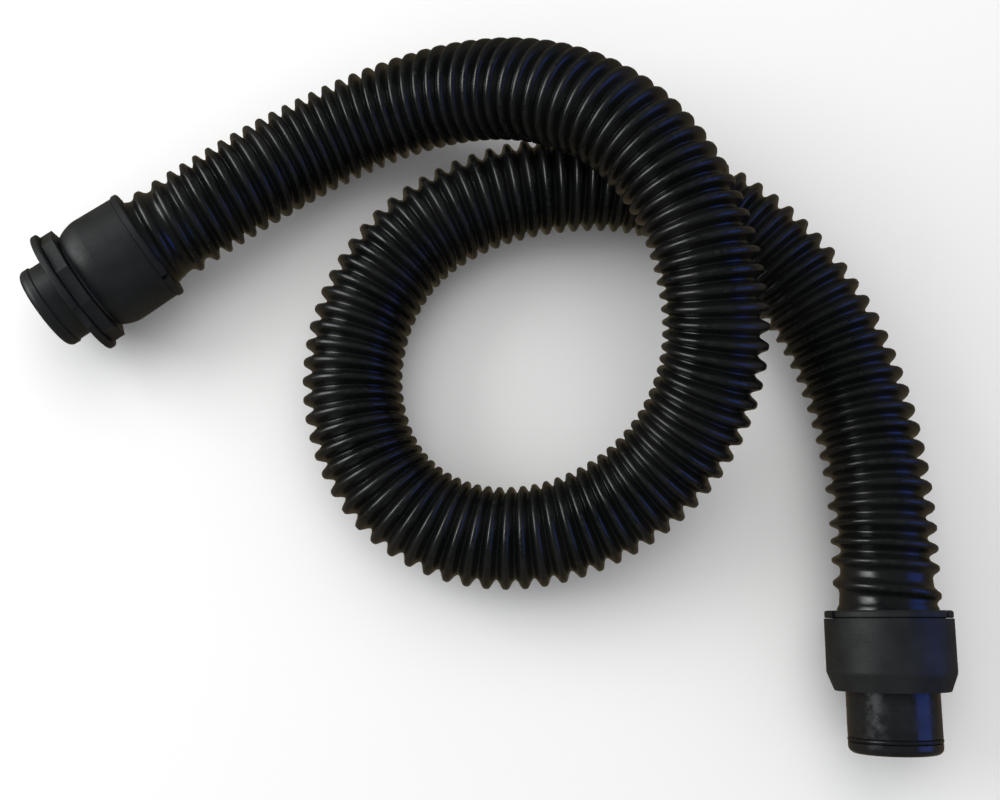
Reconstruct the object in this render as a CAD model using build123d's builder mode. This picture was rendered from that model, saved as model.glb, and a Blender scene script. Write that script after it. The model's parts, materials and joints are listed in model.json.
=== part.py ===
"""Breathing hose assembly of a powered air respirator.

A helically corrugated rubber hose lies in one loose loop on a surface, with a swivelling
connector at each end: a plug-in connector for the blower unit and a bayonet connector for
the headtop. The hose itself is a plain tube along its route, and every rigid piece of both
connectors is a solid of its own. Millimetres, +Z up, the surface at Z = 0, the origin on it
midway between the two connectors.
"""
import os
from math import cos, degrees, pi, radians, sin, tan

from build123d import *

os.makedirs("parts", exist_ok=True)

# Hose route: centre line from the headtop cuff to the blower cuff, in straight runs that
# tangent arcs join. It rises over itself once and otherwise lies on the surface.
ROUTE = [
    (-126.75, 94.62, 26.6), (-98.3, 114.2, 26.6), (-69.0, 135.0, 21.0), (-37.0, 149.0, 24.0),
    (-4.0, 153.0, 36.0), (27.0, 145.5, 52.0), (55.0, 129.0, 61.5), (76.0, 103.5, 64.0),
    (88.0, 71.0, 62.0), (91.5, 37.0, 52.0), (80.0, 6.0, 38.0), (56.0, -17.0, 28.0),
    (23.0, -29.5, 23.0), (-11.0, -27.0, 20.5), (-38.5, -8.0, 20.0), (-51.5, 25.0, 20.0),
    (-48.5, 60.0, 20.0), (-31.5, 91.0, 20.0), (-3.0, 110.0, 20.0), (31.0, 119.0, 20.0),
    (66.0, 119.0, 20.0), (98.0, 107.0, 20.0), (124.0, 85.0, 20.0), (143.0, 57.0, 20.0),
    (154.0, 24.0, 20.5), (158.5, -12.4, 24.1), (158.5, -48.9, 24.1),
]
ARC_REACH = 0.45            # share of the shorter run that an arc takes up on each side

# Hose
HOSE_R = 20.0               # over the ribs
HOSE_WALL = 2.4             # wall of plain tube with the same rubber in it as the ribbed wall
CUFF_R = 17.8               # smooth end of the hose
CUFF_FLARE_R = 19.0         # cuff spread by the nipple behind the retainer
CUFF_SEAT_R = 18.2          # cuff under the crimp band
CUFF_BORE_R = 15.5
CUFF_VISIBLE = 7.5          # cuff between the last rib and the connector

# Stations along both connectors, from the hose side of the lip towards the free end
LIP_T = 2.8
SLEEVE_END = 9.0            # where the retainer's sleeve ends
NIPPLE_FLANGE_U = 9.4
NIPPLE_FLANGE_T = 3.0
NIPPLE_TAIL_U = -26.0       # where the barbed shank ends inside the hose
JOURNAL_END = 24.4
WASHER_U = 12.7
WASHER_T = 2.0
CLIP_U = 15.0               # circlip groove in the housing
CLIP_GROOVE_T = 1.4
SEAT_U = CLIP_U + CLIP_GROOVE_T
SOCKET_END = 25.0           # end of the socket that the nipple's journal turns in

# Radii shared by both connectors
NIPPLE_BORE_R = 13.8
JOURNAL_R = 16.2
SOCKET_R = 16.3             # running fit on the journal
NIPPLE_FLANGE_R = 20.4
HOUSING_BORE_R = 20.8
CLIP_GROOVE_R = 21.4
SEAT_R = 19.4
RETAINER_R = 19.5           # clear of the crimp band and the cuff
AIR_BORE_R = 14.5
SEGMENTS = 3                # retainer segments per connector
SEGMENT_GAP = 2.4
SPIGOT_HOLE_R = 17.4        # hole in the housing's front wall
BAND_T = 0.7                # crimp band
SWIVEL_SEAL_MAJOR, SWIVEL_SEAL_MINOR, SWIVEL_SEAL_U = 15.62, 0.6, 19.6
WASHER_R = 20.4

# Blower connector
BLOWER_LIP_R = 23.8
BLOWER_RETAINER_TURN = 14.0
COLLAR_U0, COLLAR_U1, COLLAR_U2 = 3.0, 23.3, 30.0
COLLAR_R0, COLLAR_R1 = 24.0, 21.4     # barrel, then the end of its cone
COLLAR_EDGE_R = 4.0         # rounding between barrel and cone
COLLAR_WALL_U = 24.0        # inner face of the collar's front wall
BLOWER_SPIGOT_R = 17.3
BLOWER_SHANK_R = 16.7       # spigot inside the collar
BLOWER_END = 53.0
SEAL_U = 47.9               # middle of the spigot's O-ring
SEAL_MINOR = 0.9
SEAL_GROOVE_R = 15.7
SEAL_GROOVE_T = 2.0
NOSE_R = 2.6                # rounding of both spigots' ends

# Headtop connector
HEAD_LIP_R = 23.5
HEAD_RETAINER_TURN = 0.0
BODY_U0, BODY_U1, BODY_U2 = 3.0, 20.0, 28.2
BODY_R0, BODY_R1, BODY_R2 = 22.9, 23.3, 20.6
SHOULDER = (22.5, 24.2)     # radius and station halfway round the shoulder
BODY_WALL_U = 22.0
GRIP_U0, GRIP_U1 = 29.3, 34.2
GRIP_SIDES = 10
GRIP_R = 24.9
GRIP_TURN = 17.0
GRIP_CORNER_R = 1.2
FLANGE_U0, FLANGE_U1 = 34.6, 37.4
FLANGE_R = 26.6
LOCK_BORE_R = 17.2
HEAD_SPIGOT_R = 16.8
HEAD_END = 49.8
HEAD_BEAD_R = 17.4
HEAD_BEAD_T = 5.0
HUB_R = 21.0                # hub that spaces the bayonet flange from the grip
NOTCH_R, NOTCH_DEPTH, NOTCH_TURN = 14.0, 1.4, 45.0
LOCK_CLIP_U, LOCK_CLIP_T = 36.0, 1.2
LOCK_CLIP_R, LOCK_CLIP_GROOVE_R = 18.0, 15.9
CLIP_RECESS_U, CLIP_RECESS_R = 35.7, 18.4
SPRING_R, SPRING_T = 18.6, 0.8

UP = Vector(0, 0, 1)


def end_plane(last, before):
    """Plane at a connector's lip: Z along the connector, away from the hose, and Y up."""
    axis = (Vector(*last) - Vector(*before)).normalized()
    return Plane(Vector(*last) + axis * CUFF_VISIBLE, x_dir=UP.cross(axis), z_dir=axis)


def section(plane):
    """Plane through a connector's axis: X is the radius and Y runs along the connector."""
    return Plane(plane.origin, x_dir=plane.x_dir, z_dir=-plane.y_dir)


def spun(plane, angle):
    """The same plane, turned about the connector's axis."""
    turn = radians(angle)
    return Plane(plane.origin, plane.x_dir * cos(turn) + plane.y_dir * sin(turn), plane.z_dir)


def axis_of(plane):
    return Axis(plane.origin, plane.z_dir)


def keep(builder, name):
    """Label a finished piece and write it to its own file."""
    builder.part.label = name
    export_step(builder.part, f"parts/{name}.step")


head = end_plane(ROUTE[0], ROUTE[1])
blower = end_plane(ROUTE[-1], ROUTE[-2])


# ---------------------------------------------------------------- hose
def arc_radii(route):
    """Largest even arc for each corner of the route."""
    radii = []
    for a, b, c in zip(route, route[1:], route[2:]):
        run_in, run_out = Vector(*b) - Vector(*a), Vector(*c) - Vector(*b)
        half_turn = radians(run_in.get_angle(run_out)) / 2
        radii.append(ARC_REACH * min(run_in.length, run_out.length) / tan(half_turn))
    return radii


RADII = arc_radii(ROUTE)
print("arc radii, mm:", [round(r) for r in RADII])

with BuildPart() as hose_tube:
    with BuildLine() as route_line:
        FilletPolyline(*ROUTE, radius=RADII)
    with BuildSketch(Plane(ROUTE[0], z_dir=Vector(*ROUTE[1]) - Vector(*ROUTE[0]))):
        Circle(HOSE_R)
        Circle(HOSE_R - HOSE_WALL, mode=Mode.SUBTRACT)
    sweep(path=route_line.wire())
tube_length = route_line.wire().length
tube_section = pi * (HOSE_R**2 - (HOSE_R - HOSE_WALL) ** 2)
print("tube length, mm:", round(tube_length, 1),
      "volume over section times length:", round(hose_tube.part.volume / tube_section / tube_length, 4))
keep(hose_tube, "hose_tube")


def hose_cuff(plane):
    """Smooth end of the hose, from the last rib to the nipple's flange."""
    with BuildPart() as cuff:
        with BuildSketch(section(plane)):
            with BuildLine():
                Polyline(
                    (CUFF_BORE_R, NIPPLE_FLANGE_U), (CUFF_BORE_R, -CUFF_VISIBLE),
                    (CUFF_R + 1.0, -CUFF_VISIBLE), (CUFF_R, -CUFF_VISIBLE + 2.0), (CUFF_R, -4.0),
                    (CUFF_FLARE_R, -1.0), (CUFF_FLARE_R, 1.6), (CUFF_SEAT_R, 2.0),
                    (CUFF_SEAT_R, NIPPLE_FLANGE_U), close=True,
                )
            make_face()
        revolve(axis=axis_of(plane))
    return cuff


# ---------------------------------------------------------------- pieces both connectors have
def hose_nipple(plane):
    """Rigid barbed nipple in the hose end, with a flange and the journal the swivel turns on."""
    groove_lo, groove_hi, groove_r = 18.8, 20.4, 15.0
    barbs = []
    for step in range(4):
        base = -22.0 + 6.0 * step
        barbs += [(CUFF_BORE_R - 0.8, base - 3.0), (CUFF_BORE_R, base), (CUFF_BORE_R - 0.8, base)]
    with BuildPart() as nipple:
        with BuildSketch(section(plane)):
            with BuildLine():
                Polyline(
                    (NIPPLE_BORE_R, NIPPLE_TAIL_U), (CUFF_BORE_R - 1.0, NIPPLE_TAIL_U), *barbs,
                    (CUFF_BORE_R - 0.8, 0.0), (CUFF_BORE_R, 2.0), (CUFF_BORE_R, NIPPLE_FLANGE_U),
                    (NIPPLE_FLANGE_R, NIPPLE_FLANGE_U),
                    (NIPPLE_FLANGE_R, NIPPLE_FLANGE_U + NIPPLE_FLANGE_T),
                    (JOURNAL_R, NIPPLE_FLANGE_U + NIPPLE_FLANGE_T),
                    (JOURNAL_R, groove_lo), (groove_r, groove_lo),
                    (groove_r, groove_hi), (JOURNAL_R, groove_hi),
                    (JOURNAL_R, JOURNAL_END - 0.8), (JOURNAL_R - 0.8, JOURNAL_END),
                    (NIPPLE_BORE_R, JOURNAL_END), close=True,
                )
            make_face()
        revolve(axis=axis_of(plane))
    return nipple


def ring(plane, inner, outer, start, length, edge=0.0):
    """Flat ring around a connector's axis, with its edges broken where edge is given."""
    with BuildPart() as piece:
        with BuildSketch(plane.offset(start)):
            Circle(outer)
            Circle(inner, mode=Mode.SUBTRACT)
        extrude(amount=length)
        if edge:
            chamfer(piece.edges().filter_by(GeomType.CIRCLE), edge)
    return piece


def o_ring(plane, major, minor, station):
    """Round-section seal ring."""
    with BuildPart() as piece:
        with BuildSketch(section(plane)):
            with Locations((major, station)):
                Circle(minor)
        revolve(axis=axis_of(plane))
    return piece


def circlip(plane):
    """Internal circlip with its gap and its two lugs."""
    outer, inner, gap = CLIP_GROOVE_R - 0.1, 18.4, 14.0
    with BuildPart() as clip:
        with BuildSketch(plane.offset(CLIP_U + 0.1)):
            Circle(outer)
            Circle(inner, mode=Mode.SUBTRACT)
            with Locations((0, -outer)):
                Rectangle(gap, 8.0, mode=Mode.SUBTRACT)
            for side in (-1, 1):
                with Locations((side * (gap / 2 + 1.0), -inner + 0.7)):
                    Circle(1.5)
                    Circle(0.6, mode=Mode.SUBTRACT)
        extrude(amount=CLIP_GROOVE_T - 0.2)
    return clip


def retainer_segment(plane, lip_r, turn, index):
    """One third of the split ring that closes the housing: a lip outside, a sleeve inside."""
    pitch = 360 / SEGMENTS
    gap = degrees(SEGMENT_GAP / lip_r)
    start = spun(plane, 90 - pitch / 2 + turn + pitch * index + gap / 2)
    with BuildPart() as segment:
        with BuildSketch(section(start)):
            with BuildLine():
                Polyline(
                    (RETAINER_R, 0.6), (RETAINER_R + 0.6, 0.0), (lip_r - 0.6, 0.0), (lip_r, 0.6),
                    (lip_r, LIP_T - 0.4), (lip_r - 0.4, LIP_T), (HOUSING_BORE_R, LIP_T),
                    (HOUSING_BORE_R, SLEEVE_END), (RETAINER_R, SLEEVE_END), close=True,
                )
            make_face()
        revolve(axis=axis_of(plane), revolution_arc=pitch - gap)
    return segment


def housing_bore(plane, front_u):
    """Space inside a connector's housing: retainer, circlip groove, seat and spigot hole."""
    with BuildPart() as bore:
        with BuildSketch(section(plane)):
            with BuildLine():
                Polyline(
                    (0, 0), (HOUSING_BORE_R, 0), (HOUSING_BORE_R, CLIP_U), (CLIP_GROOVE_R, CLIP_U),
                    (CLIP_GROOVE_R, SEAT_U), (SEAT_R, SEAT_U), (SEAT_R, front_u),
                    (SPIGOT_HOLE_R, front_u), (SPIGOT_HOLE_R, BLOWER_END), (0, BLOWER_END), close=True,
                )
            make_face()
        revolve(axis=axis_of(plane))
    return bore.part


for end, plane, lip_r, turn in (
    ("head", head, HEAD_LIP_R, HEAD_RETAINER_TURN),
    ("blower", blower, BLOWER_LIP_R, BLOWER_RETAINER_TURN),
):
    keep(hose_cuff(plane), f"{end}_cuff")
    keep(hose_nipple(plane), f"{end}_nipple")
    keep(ring(plane, CUFF_SEAT_R, CUFF_SEAT_R + BAND_T, 2.4, 6.0), f"{end}_crimp_band")
    keep(o_ring(plane, SWIVEL_SEAL_MAJOR, SWIVEL_SEAL_MINOR, SWIVEL_SEAL_U), f"{end}_swivel_seal")
    keep(ring(plane, JOURNAL_R + 0.8, WASHER_R, WASHER_U, WASHER_T, 0.3), f"{end}_thrust_washer")
    keep(circlip(plane), f"{end}_circlip")
    for index in range(SEGMENTS):
        keep(retainer_segment(plane, lip_r, turn, index), f"{end}_retainer_{index + 1}")


# ---------------------------------------------------------------- blower connector
with BuildPart() as blower_collar:
    with BuildSketch(section(blower)):
        with BuildLine():
            FilletPolyline(
                (COLLAR_R0, COLLAR_U0), (COLLAR_R0, COLLAR_U1), (COLLAR_R1, COLLAR_U2),
                radius=COLLAR_EDGE_R,
            )
            Polyline((COLLAR_R1, COLLAR_U2), (0, COLLAR_U2), (0, COLLAR_U0), (COLLAR_R0, COLLAR_U0))
        make_face()
    revolve(axis=axis_of(blower))
    add(housing_bore(blower, COLLAR_WALL_U), mode=Mode.SUBTRACT)
keep(blower_collar, "blower_collar")

with BuildPart() as blower_spigot:
    with BuildSketch(section(blower)):
        with BuildLine():
            Polyline(
                (SOCKET_R, SEAT_U), (SEAT_R - 0.1, SEAT_U), (SEAT_R - 0.1, COLLAR_WALL_U - 0.1),
                (BLOWER_SHANK_R, COLLAR_WALL_U - 0.1), (BLOWER_SHANK_R, COLLAR_U2),
                (BLOWER_SPIGOT_R, COLLAR_U2), (BLOWER_SPIGOT_R, SEAL_U - SEAL_GROOVE_T / 2),
                (SEAL_GROOVE_R, SEAL_U - SEAL_GROOVE_T / 2), (SEAL_GROOVE_R, SEAL_U + SEAL_GROOVE_T / 2),
                (BLOWER_SPIGOT_R, SEAL_U + SEAL_GROOVE_T / 2), (BLOWER_SPIGOT_R, BLOWER_END - NOSE_R),
            )
            RadiusArc(
                (BLOWER_SPIGOT_R, BLOWER_END - NOSE_R), (BLOWER_SPIGOT_R - NOSE_R, BLOWER_END), -NOSE_R
            )
            Polyline(
                (BLOWER_SPIGOT_R - NOSE_R, BLOWER_END), (AIR_BORE_R, BLOWER_END),
                (AIR_BORE_R, SOCKET_END), (SOCKET_R, SOCKET_END), (SOCKET_R, SEAT_U),
            )
        make_face()
    revolve(axis=axis_of(blower))
keep(blower_spigot, "blower_spigot")
keep(o_ring(blower, SEAL_GROOVE_R + SEAL_MINOR, SEAL_MINOR, SEAL_U), "blower_spigot_seal")


# ---------------------------------------------------------------- headtop connector
with BuildPart() as head_body:
    with BuildSketch(section(head)):
        with BuildLine():
            Polyline(
                (BODY_R2, BODY_U2), (0, BODY_U2), (0, BODY_U0), (BODY_R0, BODY_U0), (BODY_R1, BODY_U1),
            )
            ThreePointArc((BODY_R1, BODY_U1), SHOULDER, (BODY_R2, BODY_U2))
        make_face()
    revolve(axis=axis_of(head))
    add(housing_bore(head, BODY_WALL_U), mode=Mode.SUBTRACT)
keep(head_body, "head_body")

with BuildPart() as head_spigot:
    with BuildSketch(section(head)):
        with BuildLine():
            Polyline(
                (SOCKET_R, SEAT_U), (SEAT_R - 0.1, SEAT_U), (SEAT_R - 0.1, BODY_WALL_U - 0.1),
                (HEAD_SPIGOT_R, BODY_WALL_U - 0.1), (HEAD_SPIGOT_R, LOCK_CLIP_U),
                (LOCK_CLIP_GROOVE_R, LOCK_CLIP_U), (LOCK_CLIP_GROOVE_R, LOCK_CLIP_U + LOCK_CLIP_T),
                (HEAD_SPIGOT_R, LOCK_CLIP_U + LOCK_CLIP_T), (HEAD_SPIGOT_R, HEAD_END - HEAD_BEAD_T),
            )
            Line((HEAD_SPIGOT_R, HEAD_END - HEAD_BEAD_T), (HEAD_BEAD_R, HEAD_END - HEAD_BEAD_T + 0.5))
            Line((HEAD_BEAD_R, HEAD_END - HEAD_BEAD_T + 0.5), (HEAD_BEAD_R, HEAD_END - NOSE_R))
            RadiusArc((HEAD_BEAD_R, HEAD_END - NOSE_R), (HEAD_BEAD_R - NOSE_R, HEAD_END), -NOSE_R)
            Polyline(
                (HEAD_BEAD_R - NOSE_R, HEAD_END), (AIR_BORE_R, HEAD_END), (AIR_BORE_R, SOCKET_END),
                (SOCKET_R, SOCKET_END), (SOCKET_R, SEAT_U),
            )
        make_face()
    revolve(axis=axis_of(head))
keep(head_spigot, "head_spigot")

with BuildPart() as head_lock_ring:
    with BuildSketch(head.offset(GRIP_U0)) as grip_outline:
        RegularPolygon(GRIP_R, GRIP_SIDES, rotation=GRIP_TURN)
        fillet(grip_outline.vertices(), GRIP_CORNER_R)
        Circle(LOCK_BORE_R, mode=Mode.SUBTRACT)
    extrude(amount=GRIP_U1 - GRIP_U0)
    with BuildSketch(head.offset(GRIP_U1)):
        Circle(HUB_R)
        Circle(LOCK_BORE_R, mode=Mode.SUBTRACT)
    extrude(amount=FLANGE_U0 - GRIP_U1)
keep(head_lock_ring, "head_lock_ring")

with BuildPart() as head_bayonet_flange:
    with BuildSketch(head.offset(FLANGE_U0)):
        Circle(FLANGE_R)
        Circle(LOCK_BORE_R, mode=Mode.SUBTRACT)
        with PolarLocations(FLANGE_R + NOTCH_R - NOTCH_DEPTH, 3, start_angle=NOTCH_TURN):
            Circle(NOTCH_R, mode=Mode.SUBTRACT)
    extrude(amount=FLANGE_U1 - FLANGE_U0)
    with BuildSketch(head.offset(CLIP_RECESS_U)):
        Circle(CLIP_RECESS_R)
    extrude(amount=FLANGE_U1 - CLIP_RECESS_U, mode=Mode.SUBTRACT)
    fillet(head_bayonet_flange.edges().filter_by(GeomType.CIRCLE).group_by(SortBy.RADIUS)[-1], 0.8)
keep(head_bayonet_flange, "head_bayonet_flange")

with BuildPart() as head_lock_clip:
    with BuildSketch(head.offset(LOCK_CLIP_U + 0.05)):
        Circle(LOCK_CLIP_R)
        Circle(LOCK_CLIP_GROOVE_R + 0.05, mode=Mode.SUBTRACT)
        with Locations((0, -LOCK_CLIP_R)):
            Rectangle(9.0, 8.0, mode=Mode.SUBTRACT)
    extrude(amount=LOCK_CLIP_T - 0.1)
keep(head_lock_clip, "head_lock_clip")
keep(ring(head, LOCK_BORE_R + 0.2, SPRING_R, BODY_U2 + 0.05, SPRING_T), "head_wave_spring")
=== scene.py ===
"""Looks of a respirator's breathing hose: a helically ribbed rubber hose in one loose loop, with
a swivelling connector at each end. Metres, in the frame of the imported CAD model."""
import json
from math import pi

import bmesh
import bpy
import numpy as np
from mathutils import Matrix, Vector


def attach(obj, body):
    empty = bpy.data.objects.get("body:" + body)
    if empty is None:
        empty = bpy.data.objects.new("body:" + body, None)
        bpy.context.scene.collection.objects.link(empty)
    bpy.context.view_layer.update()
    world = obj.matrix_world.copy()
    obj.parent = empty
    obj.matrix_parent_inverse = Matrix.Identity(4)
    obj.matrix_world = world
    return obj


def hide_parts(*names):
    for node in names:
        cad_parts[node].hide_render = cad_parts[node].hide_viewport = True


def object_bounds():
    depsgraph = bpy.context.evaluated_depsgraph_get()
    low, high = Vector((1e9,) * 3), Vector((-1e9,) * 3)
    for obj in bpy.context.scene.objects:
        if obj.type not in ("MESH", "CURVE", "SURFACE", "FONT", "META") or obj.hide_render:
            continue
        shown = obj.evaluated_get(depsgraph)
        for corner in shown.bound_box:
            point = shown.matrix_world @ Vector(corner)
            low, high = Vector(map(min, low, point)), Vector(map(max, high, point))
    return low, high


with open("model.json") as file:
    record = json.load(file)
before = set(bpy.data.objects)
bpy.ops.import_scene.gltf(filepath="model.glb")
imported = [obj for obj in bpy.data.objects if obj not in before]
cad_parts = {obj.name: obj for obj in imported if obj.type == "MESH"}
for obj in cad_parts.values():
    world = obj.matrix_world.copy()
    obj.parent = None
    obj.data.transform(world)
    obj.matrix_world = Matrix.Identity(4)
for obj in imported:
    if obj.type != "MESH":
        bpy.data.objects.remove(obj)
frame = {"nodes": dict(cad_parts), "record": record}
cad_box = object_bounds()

NODES = frame["nodes"]
MM = 0.001

# ---------------------------------------------------------------- camera
CAMERA_AT = Vector((0.009, -0.0617, 0.4938))
CAMERA_AIM = Vector((0.009, 0.027, 0.020))
CAMERA_LENS_MM = 43.2
CAMERA_SENSOR_MM = 36.0


def aim(obj, target):
    """Point a camera or a lamp at a place, with its top towards +Y or +Z."""
    obj.rotation_euler = (Vector(target) - obj.location).to_track_quat("-Z", "Y").to_euler()


camera_data = bpy.data.cameras.new("camera")
camera_data.lens = CAMERA_LENS_MM
camera_data.sensor_width = CAMERA_SENSOR_MM
camera = bpy.data.objects.new("camera", camera_data)
camera.location = CAMERA_AT
aim(camera, CAMERA_AIM)
bpy.context.scene.collection.objects.link(camera)
bpy.context.scene.camera = camera

# ---------------------------------------------------------------- hose route
# Centre line from the headtop connector to the blower connector, in millimetres: the CAD
# tube's own route, with one point more at each end, where the hose goes inside a connector.
ROUTE_MM = [
    (-139.93, 85.55, 26.6),
    (-126.75, 94.62, 26.6), (-98.3, 114.2, 26.6), (-69.0, 135.0, 21.0), (-37.0, 149.0, 24.0),
    (-4.0, 153.0, 36.0), (27.0, 145.5, 52.0), (55.0, 129.0, 61.5), (76.0, 103.5, 64.0),
    (88.0, 71.0, 62.0), (91.5, 37.0, 52.0), (80.0, 6.0, 38.0), (56.0, -17.0, 28.0),
    (23.0, -29.5, 23.0), (-11.0, -27.0, 20.5), (-38.5, -8.0, 20.0), (-51.5, 25.0, 20.0),
    (-48.5, 60.0, 20.0), (-31.5, 91.0, 20.0), (-3.0, 110.0, 20.0), (31.0, 119.0, 20.0),
    (66.0, 119.0, 20.0), (98.0, 107.0, 20.0), (124.0, 85.0, 20.0), (143.0, 57.0, 20.0),
    (154.0, 24.0, 20.5), (158.5, -12.4, 24.1), (158.5, -48.9, 24.1),
    (158.5, -64.9, 24.1),
]
CUFF_INSIDE = 8.5 * MM       # hose inside each connector, past its lip
STEPS_PER_POINT = 24         # points of the line for each point of the route
BEND_WINDOW = 25             # points of the line that a bend is averaged over

# Ribbed wall. The pitches are in millimetres, each at a share of the hose's length.
RIB_R = 20.0 * MM            # over the ribs
INNER_R = 15.4 * MM
RIB_PITCH = [(0.0, 8.6), (0.022, 8.4), (0.035, 5.8), (0.3, 6.0), (0.62, 6.2), (0.8, 6.8),
             (0.93, 7.3), (0.972, 7.5), (0.978, 10.8), (1.0, 10.8)]
RIB_HALF_WIDTH = 1.85 * MM   # at half the rib's height
RIB_STEEPNESS = 3.8          # exponent of the rib's flanks
RIB_REACH = 3.6 * MM         # half the rib's foot, where the pitch leaves room for it
FOLD_FILL = 1.2              # how fast the valleys close on the inside of a bend
FOLD_FILL_MOST = 0.6         # share of their depth that they close by at most
RUN_OUT_TURNS = 0.36         # the rib sinks into each cuff over this much of a turn
RIB_FROM_LIP = (2.0 * MM, 0.5 * MM)   # where the rib runs out, from the headtop and blower lips
AROUND = 48                  # points around the hose
ACROSS_RIB = 12              # points along one pitch
INNER_STEP = 4.0 * MM        # between the rings of the bore
PITCH_SAMPLES = 4000         # points that the turns are counted at
END_MARGIN = 0.5 * MM        # from each flat end to the start of the helical grid
HAND = 1.0                   # 1 for a left-handed rib, -1 for a right-handed one
RIB_START = 0.17             # turns by which the rib is moved round the hose

# Outline of each smooth cuff: distance from the connector's lip, and radius
CUFF_OUTLINE_MM = [(-8.5, 18.2), (-2.0, 18.2), (-1.4, 18.9), (0.6, 19.0), (2.6, 18.0), (6.0, 17.7),
                   (13.0, 17.2), (22.0, 16.2)]


def route_curve(name, points_mm):
    """NURBS line with the route's points as its control points."""
    data = bpy.data.curves.new(name, "CURVE")
    data.dimensions = "3D"
    data.resolution_u = STEPS_PER_POINT
    spline = data.splines.new("NURBS")
    spline.points.add(len(points_mm) - 1)
    for point, (x, y, z) in zip(spline.points, points_mm):
        point.co = (x * MM, y * MM, z * MM, 1.0)
    spline.order_u = 3
    spline.use_endpoint_u = True
    return data


def curve_points(data):
    """Points along a curve that has no bevel."""
    bare = bpy.data.objects.new("route_line", data)
    mesh = bpy.data.meshes.new_from_object(bare)
    line = np.array([v.co for v in mesh.vertices], float)
    bpy.data.meshes.remove(mesh)
    bpy.data.objects.remove(bare)
    bpy.data.curves.remove(data)
    return line


class Line:
    """A smooth line with its length, and two directions across it that don't twist."""

    def __init__(self, points):
        self.points = points
        steps = np.linalg.norm(np.diff(points, axis=0), axis=1)
        self.at = np.concatenate([[0.0], np.cumsum(steps)])
        self.length = float(self.at[-1])
        tangents = np.gradient(points, self.at, axis=0)
        self.tangents = tangents / np.linalg.norm(tangents, axis=1)[:, None]
        self.side = np.zeros_like(points)
        side = np.cross(self.tangents[0], (0.0, 0.0, 1.0))
        for k, tangent in enumerate(self.tangents):
            side = side - tangent * (side @ tangent)
            side = side / np.linalg.norm(side)
            self.side[k] = side
        self.up = np.cross(self.side, self.tangents)
        bends = np.gradient(self.tangents, self.at, axis=0)
        window = np.hanning(BEND_WINDOW) / np.hanning(BEND_WINDOW).sum()
        self.bends = np.stack([np.convolve(bends[:, k], window, "same") for k in range(3)],
                              axis=-1)

    def on(self, values, s):
        """Values given at the line's points, read at distances s along it."""
        return np.stack([np.interp(s, self.at, values[:, k]) for k in range(3)], axis=-1)

    def across(self, s, angle):
        """Directions square to the line at distances s along it, at angles round it."""
        return (np.cos(angle)[..., None] * self.on(self.side, s)
                + np.sin(angle)[..., None] * self.on(self.up, s))

    def around(self, s, angle, radius):
        """Points at distances s along the line, at angles round it and radii from it."""
        return self.on(self.points, s) + radius[..., None] * self.across(s, angle)

    def squeeze(self, s, angle):
        """Share by which the ribs' tops are pressed together: above 0 on a bend's inside."""
        return RIB_R * np.sum(self.on(self.bends, s) * self.across(s, angle), axis=-1)


def cuff_radius(s, length):
    """Radius of the hose without its rib: the valley's, or a cuff's near either end."""
    from_lip = np.minimum(s, length - s) / MM - CUFF_INSIDE / MM
    stations, radii = zip(*CUFF_OUTLINE_MM)
    return np.interp(from_lip, stations, radii) * MM


def rib_shape(from_crest, reach):
    """Height of the rib: 1 on its round crest, with hollow flanks down to 0 at its reach."""
    def bell(distance):
        return 1 / (1 + (np.abs(distance) / RIB_HALF_WIDTH) ** RIB_STEEPNESS)
    return np.clip((bell(from_crest) - bell(reach)) / (1 - bell(reach)), 0.0, 1.0)


def angle_of(row):
    """Angle round the hose of a row of the rib's grid."""
    return HAND * 2 * pi * (row / AROUND + RIB_START)


def smooth_step(x):
    """0 below 0, 1 above 1, and a rise with level ends between them."""
    x = np.clip(x, 0.0, 1.0)
    return x * x * (3 - 2 * x)


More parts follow.
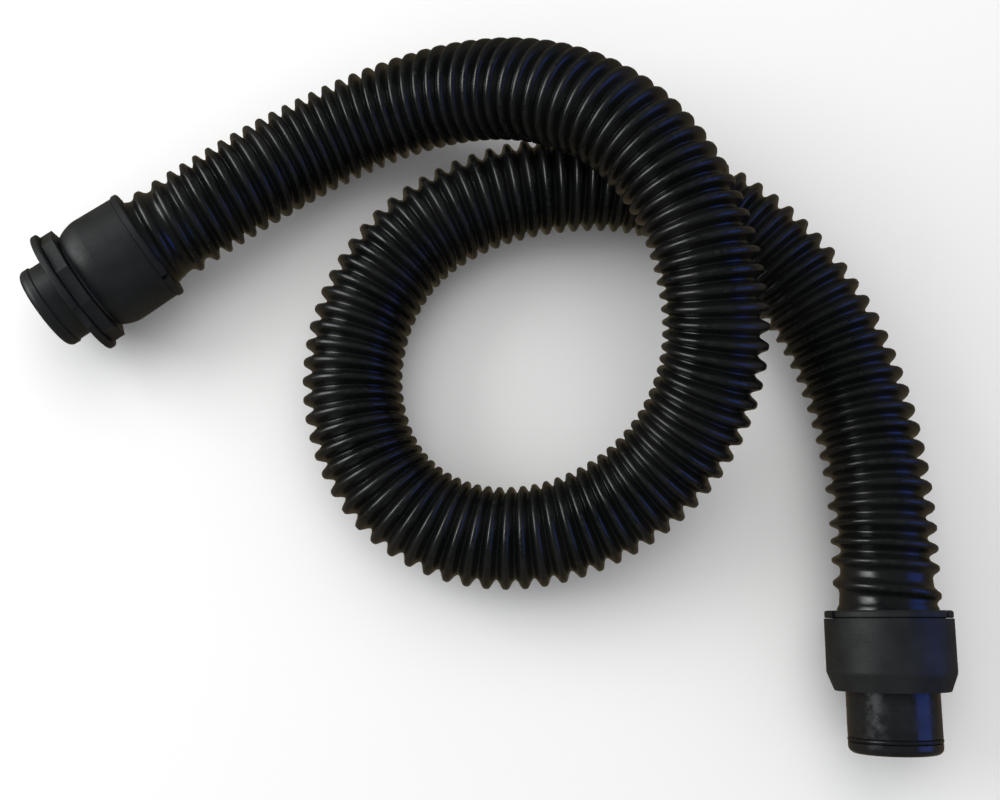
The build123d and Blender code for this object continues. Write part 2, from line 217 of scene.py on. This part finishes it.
def hose_mesh(line):
    """The whole hose as one closed mesh, its outer grid running along the helical rib."""
    shares, pitches = zip(*RIB_PITCH)
    s_fine = np.linspace(0.0, line.length, PITCH_SAMPLES)
    pitch = np.interp(s_fine / line.length, shares, pitches) * MM
    turn_steps = np.diff(s_fine) / ((pitch[1:] + pitch[:-1]) / 2)
    turns_at = np.concatenate([[0.0], np.cumsum(turn_steps)])
    start, stop = END_MARGIN, line.length - END_MARGIN
    first, last = np.interp((start, stop), s_fine, turns_at)
    turns = int(last - first)
    stretch = (last - first) / turns

    def distance(turn):
        """Distance along the line at a number of turns of the rib."""
        return np.interp(first + turn * stretch, turns_at, s_fine)

    # Outer grid: row i is one step round the helix, column j one step across the rib.
    rows = np.arange((turns - 1) * AROUND + 1)
    columns = np.arange(ACROSS_RIB)
    turn = rows[:, None] / AROUND + columns[None, :] / ACROSS_RIB
    angle = np.broadcast_to(angle_of(rows)[:, None], turn.shape)
    crest = rows / AROUND + 0.5
    crest_at = distance(crest)
    crest_turn_from = np.interp(CUFF_INSIDE + RIB_FROM_LIP[0], crest_at, crest)
    crest_turn_to = np.interp(line.length - CUFF_INSIDE - RIB_FROM_LIP[1], crest_at, crest)
    fade = smooth_step((crest - crest_turn_from) / RUN_OUT_TURNS)
    fade = fade * smooth_step((crest_turn_to - crest) / RUN_OUT_TURNS)
    s = distance(turn)
    base = cuff_radius(s, line.length)
    half_pitch = (distance(crest + 0.5) - distance(crest - 0.5)) / 2
    height = rib_shape(s - crest_at[:, None], np.minimum(half_pitch, RIB_REACH)[:, None])
    fill = np.clip(FOLD_FILL * line.squeeze(s, angle), 0.0, FOLD_FILL_MOST)
    height = (height + (1 - height) * fill) * fade[:, None]
    radius = base + (RIB_R - base) * height
    outer = line.around(s, angle, radius).reshape(-1, 3)

    # The last turn has only the edge of its helix.
    edge_rows = np.arange((turns - 1) * AROUND + 1, turns * AROUND + 1)
    edge_s = distance(edge_rows / AROUND)
    edge = line.around(edge_s, angle_of(edge_rows), cuff_radius(edge_s, line.length))

    # Flat ends and the bore.
    ring_angle = angle_of(np.arange(AROUND))
    bore_s = np.linspace(0.0, line.length, int(line.length / INNER_STEP))

    def ring(at, radius):
        return line.around(np.full(AROUND, at), ring_angle, np.full(AROUND, radius))

    rims = [ring(at, cuff_radius(at, line.length)) for at in (0.0, line.length)]
    bore = [ring(at, INNER_R) for at in bore_s]

    points = np.concatenate([outer, edge, *rims, *bore])
    edge_start = len(outer)
    rim_start = edge_start + len(edge)
    bore_start = rim_start + 2 * AROUND

    def grid(row, column):
        """Index of a point of the outer grid, whose last column is the next turn's first."""
        if column == ACROSS_RIB:
            return grid(row + AROUND, 0)
        if row > rows[-1]:
            return edge_start + row - rows[-1] - 1
        return row * ACROSS_RIB + column

    faces = []
    for i in range(len(rows) - 1):
        for j in range(ACROSS_RIB):
            faces.append((grid(i, j), grid(i + 1, j), grid(i + 1, j + 1), grid(i, j + 1)))
    # Strips between the flat ends and the helical grid, their seams, then the ends and bore.
    top = (turns - 1) * AROUND
    head_rim = [rim_start + m for m in range(AROUND)]
    tail_rim = [rim_start + AROUND + m for m in range(AROUND)]
    for m in range(AROUND - 1):
        faces.append((head_rim[m], head_rim[m + 1], grid(m + 1, 0), grid(m, 0)))
        faces.append((grid(top + m, 0), grid(top + m + 1, 0), tail_rim[m + 1], tail_rim[m]))
    seam = [grid(0, j) for j in range(ACROSS_RIB + 1)]
    faces.append((head_rim[-1], head_rim[0], *seam, grid(AROUND - 1, 0)))
    seam = [grid(top, j) for j in range(ACROSS_RIB, -1, -1)]
    faces.append((grid(top + AROUND - 1, 0), *seam, tail_rim[0], tail_rim[-1]))
    rings = [head_rim] + [[bore_start + k * AROUND + m for m in range(AROUND)]
                          for k in range(len(bore_s))] + [tail_rim]
    for a, b in zip(rings, rings[1:]):
        for m in range(AROUND):
            n = (m + 1) % AROUND
            faces.append((a[n], a[m], b[m], b[n]))

    mesh = bpy.data.meshes.new("breathing_hose")
    mesh.from_pydata(points.tolist(), [], faces)
    mesh.update()
    heights = np.zeros(len(points), np.float32)
    heights[:len(outer)] = np.broadcast_to(height, turn.shape).ravel()
    mesh.attributes.new("rib_height", "FLOAT", "POINT").data.foreach_set("value", heights)
    mesh.shade_smooth()
    return mesh, turns


line = Line(curve_points(route_curve("hose_route", ROUTE_MM)))
mesh, rib_turns = hose_mesh(line)
breathing_hose = bpy.data.objects.new("breathing_hose", mesh)
bpy.context.scene.collection.objects.link(breathing_hose)
print("hose line, m:", round(line.length, 4), "rib turns:", rib_turns,
      "faces:", len(mesh.polygons))

# The hose mesh goes on the hose body and stands in for the CAD tube and the cuffs at its two ends,
# which are hidden.
HOSE_NODES = ("hose_tube", "head_cuff", "blower_cuff")
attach(breathing_hose, "hose")
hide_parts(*HOSE_NODES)
tuple(line.points[0])


# ---------------------------------------------------------------- materials
class Shader:
    """A Principled material and short calls for the nodes that feed it."""

    def __init__(self, name, **constants):
        self.material = bpy.data.materials.new(name)
        self.material.use_nodes = True
        self.nodes = self.material.node_tree.nodes
        self.links = self.material.node_tree.links
        self.surface = self.nodes["Principled BSDF"]
        self.place = self.nodes.new("ShaderNodeTexCoord").outputs["Object"]
        self.normal = None    # the last bump's, which the next one builds on
        for socket, value in constants.items():
            self.surface.inputs[socket.replace("_", " ")].default_value = value

    def noise(self, scale, detail=3.0, roughness=0.5):
        node = self.nodes.new("ShaderNodeTexNoise")
        node.inputs["Scale"].default_value = scale
        node.inputs["Detail"].default_value = detail
        node.inputs["Roughness"].default_value = roughness
        self.links.new(self.place, node.inputs["Vector"])
        return node.outputs["Fac"]

    def ramp(self, value, low, high, to_low=0.0, to_high=1.0):
        """Map a value's range from low..high to to_low..to_high."""
        node = self.nodes.new("ShaderNodeMapRange")
        for socket, number in (("From Min", low), ("From Max", high),
                               ("To Min", to_low), ("To Max", to_high)):
            node.inputs[socket].default_value = number
        self.links.new(value, node.inputs["Value"])
        return node.outputs["Result"]

    def math(self, operation, a, b):
        node = self.nodes.new("ShaderNodeMath")
        node.operation = operation
        for socket, value in zip(node.inputs, (a, b)):
            if isinstance(value, (int, float)):
                socket.default_value = value
            else:
                self.links.new(value, socket)
        return node.outputs["Value"]

    def attribute(self, name):
        node = self.nodes.new("ShaderNodeAttribute")
        node.attribute_name = name
        return node.outputs["Fac"]

    def color(self, share, low, high):
        """Base colour between two colours."""
        node = self.nodes.new("ShaderNodeMix")
        node.data_type = "RGBA"
        node.inputs["A"].default_value = (*low, 1.0)
        node.inputs["B"].default_value = (*high, 1.0)
        self.links.new(share, node.inputs["Factor"])
        self.links.new(node.outputs["Result"], self.surface.inputs["Base Color"])

    def roughness(self, value):
        self.links.new(value, self.surface.inputs["Roughness"])

    def bump(self, height, depth):
        """Raise the surface by a value times a depth in metres, on top of earlier bumps."""
        node = self.nodes.new("ShaderNodeBump")
        node.inputs["Strength"].default_value = 1.0
        node.inputs["Distance"].default_value = depth
        self.links.new(height, node.inputs["Height"])
        if self.normal:
            self.links.new(self.normal, node.inputs["Normal"])
        self.normal = node.outputs["Normal"]
        self.links.new(self.normal, self.surface.inputs["Normal"])


def hose_rubber():
    """Moulded black rubber: glossy, scuffed on the crests and dusty in random patches."""
    m = Shader("hose_rubber", Specular_IOR_Level=0.42)
    crest = m.attribute("rib_height")
    patches = m.noise(55.0, detail=4.0)
    scuff = m.math("MULTIPLY", m.ramp(crest, 0.75, 1.0),
                   m.ramp(m.noise(420.0, detail=4.0), 0.45, 0.7))
    m.color(m.math("MAXIMUM", m.ramp(patches, 0.35, 0.7, 0.0, 0.6), scuff),
            (0.0032, 0.0037, 0.0036), (0.010, 0.0098, 0.0092))
    blotch = m.ramp(patches, 0.3, 0.7, 0.22, 0.34)
    m.roughness(m.math("ADD", blotch, m.math("MULTIPLY", scuff, 0.12)))
    m.bump(m.noise(260.0, detail=2.0), 0.00003)
    m.bump(m.noise(1800.0, detail=2.0), 0.000006)
    return m.material


def textured_plastic(name, low, high, rough=(0.42, 0.58), grain=0.00004):
    """Spark-eroded mould texture on a dark plastic."""
    m = Shader(name, Specular_IOR_Level=0.26)
    m.color(m.ramp(m.noise(90.0, detail=5.0), 0.3, 0.7), low, high)
    m.roughness(m.ramp(m.noise(140.0, detail=3.0), 0.3, 0.7, *rough))
    m.bump(m.noise(1500.0, detail=2.0, roughness=0.6), grain)
    return m.material


def gloss_plastic(name, low, high, rough=(0.14, 0.34)):
    """Polished moulding with faint ripples and rubbed marks."""
    m = Shader(name, Specular_IOR_Level=0.42)
    m.color(m.ramp(m.noise(70.0, detail=4.0), 0.35, 0.7), low, high)
    m.roughness(m.ramp(m.noise(220.0, detail=5.0, roughness=0.6), 0.4, 0.6, *rough))
    m.bump(m.noise(600.0, detail=3.0), 0.00004)
    return m.material


def seal_rubber():
    m = Shader("seal_rubber", Specular_IOR_Level=0.3)
    m.color(m.noise(300.0), (0.004, 0.004, 0.0045), (0.009, 0.009, 0.010))
    m.roughness(m.ramp(m.noise(500.0, detail=3.0), 0.3, 0.7, 0.22, 0.4))
    m.bump(m.noise(2400.0, detail=2.0), 0.00001)
    return m.material


def steel(name, low, high, rough):
    """Rolled or drawn steel with a fine grain."""
    m = Shader(name, Metallic=1.0)
    m.color(m.noise(160.0, detail=5.0), low, high)
    m.roughness(m.ramp(m.noise(900.0, detail=4.0), 0.3, 0.7, *rough))
    m.bump(m.noise(3000.0, detail=2.0), 0.000006)
    return m.material


def acetal():
    m = Shader("washer_plastic", IOR=1.48)
    m.color(m.noise(120.0, detail=3.0), (0.66, 0.65, 0.60), (0.74, 0.73, 0.68))
    m.roughness(m.ramp(m.noise(400.0, detail=3.0), 0.3, 0.7, 0.3, 0.45))
    m.bump(m.noise(1600.0, detail=2.0), 0.00001)
    return m.material


MATERIALS = {
    "hose_rubber": hose_rubber(),
    "shell_plastic": textured_plastic(
        "shell_plastic", (0.008, 0.009, 0.0092), (0.014, 0.0152, 0.0155), grain=0.0001),
    "spigot_plastic": gloss_plastic(
        "spigot_plastic", (0.006, 0.006, 0.007), (0.012, 0.012, 0.013)),
    "nose_plastic": textured_plastic(
        "nose_plastic", (0.009, 0.0095, 0.010), (0.016, 0.0165, 0.017),
        rough=(0.36, 0.5), grain=0.00002),
    "nipple_plastic": textured_plastic(
        "nipple_plastic", (0.02, 0.02, 0.022), (0.03, 0.03, 0.033)),
    "seal_rubber": seal_rubber(),
    "band_steel": steel(
        "band_steel", (0.50, 0.50, 0.51), (0.58, 0.58, 0.59), rough=(0.25, 0.4)),
    "spring_steel": steel(
        "spring_steel", (0.30, 0.30, 0.32), (0.40, 0.40, 0.42), rough=(0.22, 0.38)),
    "washer_plastic": acetal(),
}


def paint(obj, slot_name):
    obj.data.materials.clear()
    obj.data.materials.append(MATERIALS[slot_name])


paint(breathing_hose, "hose_rubber")
for entry in frame["record"]["subparts"]:
    paint(NODES[entry["node"]], entry["material_slot"])

# ---------------------------------------------------------------- floor and light
FLOOR_HALF = 3.0
FLOOR_DROP = 0.0002                   # keeps the floor clear of what rests on it
ROOM_SEGMENTS = 64
ROOM_STRENGTH = 0.7
TABLE_GLOW = (0.15, 0.12, 0.075)      # what gloss mirrors from below, and from above
ROOM_GLOW = (0.09, 0.10, 0.105)
HORIZON_BAND = 0.3                    # height of a direction where one gives way to the other

floor_data = bpy.data.meshes.new("floor")
floor_data.from_pydata([(-FLOOR_HALF, -FLOOR_HALF, 0), (FLOOR_HALF, -FLOOR_HALF, 0),
                        (FLOOR_HALF, FLOOR_HALF, 0), (-FLOOR_HALF, FLOOR_HALF, 0)],
                       [], [(0, 1, 2, 3)])
floor = bpy.data.objects.new("floor", floor_data)
bpy.context.scene.collection.objects.link(floor)
floor.location.z = cad_box[0][2] - FLOOR_DROP
floor_shader = Shader("floor_paper", Roughness=0.85)
floor_shader.color(floor_shader.noise(3.0), (0.80, 0.79, 0.775), (0.83, 0.82, 0.805))
floor_data.materials.append(floor_shader.material)
floor.visible_glossy = False     # a white table would wash out the dark sides of black rubber

# A pale room all round, seen behind the floor and lighting it. The gloss of the black pieces
# mirrors the dim world outside the room instead.
room_bmesh = bmesh.new()
bmesh.ops.create_uvsphere(room_bmesh, u_segments=ROOM_SEGMENTS,
                          v_segments=ROOM_SEGMENTS // 2, radius=FLOOR_HALF)
room_data = bpy.data.meshes.new("room")
room_bmesh.to_mesh(room_data)
room_bmesh.free()
room = bpy.data.objects.new("room", room_data)
bpy.context.scene.collection.objects.link(room)
room_shader = Shader("room_paint", Roughness=1.0, Specular_IOR_Level=0.0,
                     Emission_Strength=ROOM_STRENGTH)
room_shader.surface.inputs["Emission Color"].default_value = (0.97, 0.98, 1.0, 1.0)
room_shader.color(room_shader.noise(0.5), (0.0, 0.0, 0.0), (0.01, 0.01, 0.01))
room_data.materials.append(room_shader.material)
room.visible_glossy = False
room.visible_shadow = False


LIGHTS_AIM = (0.0, 0.03, 0.02)


def area_light(name, place, size, power, color, in_reflections=True, on_floor=True):
    """Soft light on the hose. Without on_floor it lights nothing and only gleams in gloss."""
    data = bpy.data.lights.new(name, "AREA")
    data.shape = "RECTANGLE"
    data.size, data.size_y = size
    data.energy = power
    data.color = color
    lamp = bpy.data.objects.new(name, data)
    lamp.location = place
    lamp.visible_glossy = in_reflections
    lamp.visible_diffuse = on_floor
    aim(lamp, LIGHTS_AIM)
    bpy.context.scene.collection.objects.link(lamp)


area_light("key", (-1.1, 0.35, 0.60), size=(0.9, 0.8), power=11.0, color=(0.96, 1.0, 1.0))
area_light("window", (1.1, 0.0, 0.60), size=(1.0, 0.8), power=4.5, color=(0.06, 0.17, 1.0),
           on_floor=False)
area_light("lamp", (-0.9, 0.18, 0.66), size=(0.12, 0.3), power=1.3, color=(0.95, 1.0, 1.0),
           on_floor=False)
area_light("top", (0.0, 0.85, 1.5), size=(1.6, 1.6), power=12.0, color=(1.0, 1.0, 1.0),
           in_reflections=False)


def add_studio_world():
    """A dim world that only gloss mirrors: the table's glow below, the room's above."""
    world = bpy.data.worlds.new("studio")
    bpy.context.scene.world = world    # setting its ray visibility needs the scene to have it
    world.use_nodes = True
    world.cycles_visibility.diffuse = False
    nodes, links = world.node_tree.nodes, world.node_tree.links
    direction = nodes.new("ShaderNodeSeparateXYZ")
    links.new(nodes.new("ShaderNodeTexCoord").outputs["Generated"], direction.inputs["Vector"])
    height = nodes.new("ShaderNodeMapRange")
    height.inputs["From Min"].default_value = -HORIZON_BAND
    height.inputs["From Max"].default_value = HORIZON_BAND
    links.new(direction.outputs["Z"], height.inputs["Value"])
    glow = nodes.new("ShaderNodeMix")
    glow.data_type = "RGBA"
    glow.inputs["A"].default_value = (*TABLE_GLOW, 1.0)
    glow.inputs["B"].default_value = (*ROOM_GLOW, 1.0)
    links.new(height.outputs["Result"], glow.inputs["Factor"])
    links.new(glow.outputs["Result"], nodes["Background"].inputs["Color"])


add_studio_world()

view = bpy.context.scene.view_settings
view.view_transform = "Standard"
view.look = "None"
